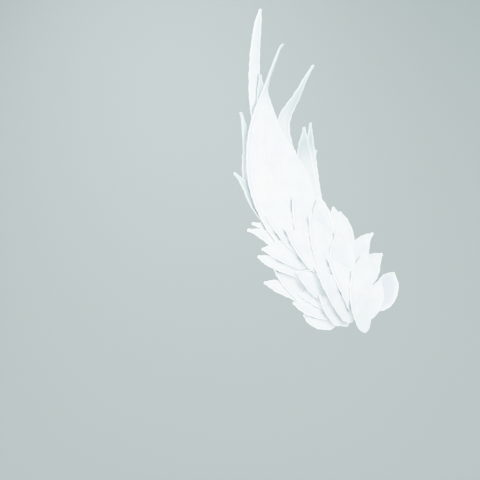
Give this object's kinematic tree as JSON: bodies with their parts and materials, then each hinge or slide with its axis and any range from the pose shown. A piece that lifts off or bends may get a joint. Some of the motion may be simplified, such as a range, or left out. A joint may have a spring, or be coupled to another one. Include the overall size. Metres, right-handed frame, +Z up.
{
  "type": "angel wing hair clip",
  "caption": "Small white angel wing of overlapping stiff feathers, long swept ones above short leaf-shaped ones, on a steel hair clip.",
  "frame": {"origin": "middle of the clip's grip, where the hair is held", "axes": "+Z up as worn, -Y the way the feathers face, +X to the right of someone who faces the feathers"},
  "size_m": [0.1479, 0.0497, 0.2504],
  "materials": {
    "foam": "matte white craft foam, cut by hand and sealed",
    "steel": "plain spring steel"
  },
  "bodies": {
    "root": {"primary_1": "foam", "primary_2": "foam", "primary_3": "foam", "primary_4": "foam", "primary_5": "foam", "primary_6": "foam", "primary_7": "foam", "primary_8": "foam", "primary_9": "foam", "primary_10": "foam", "primary_11": "foam", "covert_left_1": "foam", "covert_left_2": "foam", "covert_left_3": "foam", "covert_left_4": "foam", "covert_mid_1": "foam", "covert_mid_2": "foam", "covert_mid_3": "foam", "covert_mid_4": "foam", "covert_mid_5": "foam", "covert_mid_6": "foam", "covert_mid_7": "foam", "covert_mid_8": "foam", "covert_mid_9": "foam", "covert_mid_10": "foam", "covert_right_1": "foam", "covert_right_2": "foam", "covert_right_3": "foam", "covert_right_4": "foam", "covert_right_5": "foam", "covert_right_6": "foam", "covert_right_7": "foam", "covert_right_8": "foam", "covert_right_9": "foam", "covert_right_10": "foam", "covert_base_1": "foam", "covert_base_2": "foam", "covert_base_3": "foam", "hair_clip": "steel"}
  },
  "joints": []
}
